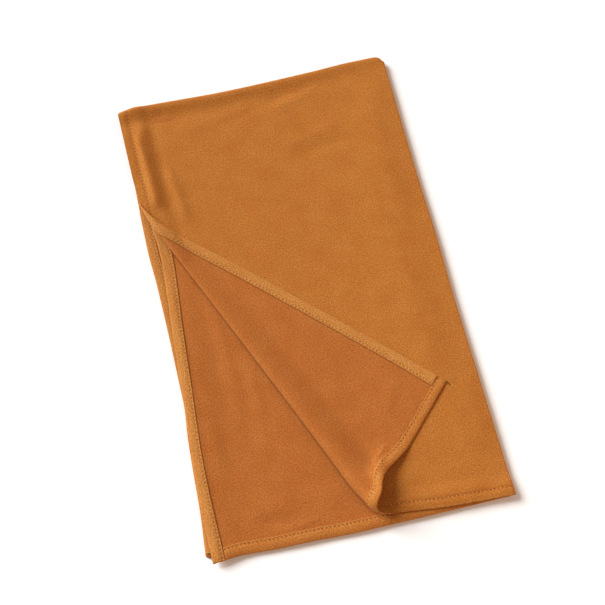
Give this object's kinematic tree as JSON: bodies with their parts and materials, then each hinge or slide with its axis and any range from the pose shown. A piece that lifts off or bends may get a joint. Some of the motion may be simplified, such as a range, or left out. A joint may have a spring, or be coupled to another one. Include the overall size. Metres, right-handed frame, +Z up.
{
  "type": "folded jersey hijab headscarf",
  "caption": "Plain ochre jersey headscarf folded into a flat packet, with hemmed edges and one corner turned up and rolled over.",
  "frame": {"origin": "middle of the folded packet's bounding box, on the surface that it lies on", "axes": "+Y along the long fold, towards the fold over the top edge; +X towards the long fold; +Z up"},
  "size_m": [0.36, 0.598, 0.0238],
  "materials": {
    "jersey_face": "matte",
    "jersey_back": "matte",
    "jersey_hem": "matte"
  },
  "bodies": {
    "root": {"under_layers": "jersey_face", "second_layer": "jersey_back", "second_side_hem": "jersey_hem", "second_end_hem": "jersey_hem", "top_layer": "jersey_face", "top_side_hem": "jersey_hem", "top_end_hem": "jersey_hem", "turned_corner": "jersey_back", "flap_side_hem": "jersey_hem", "flap_end_hem": "jersey_hem"}
  },
  "joints": []
}
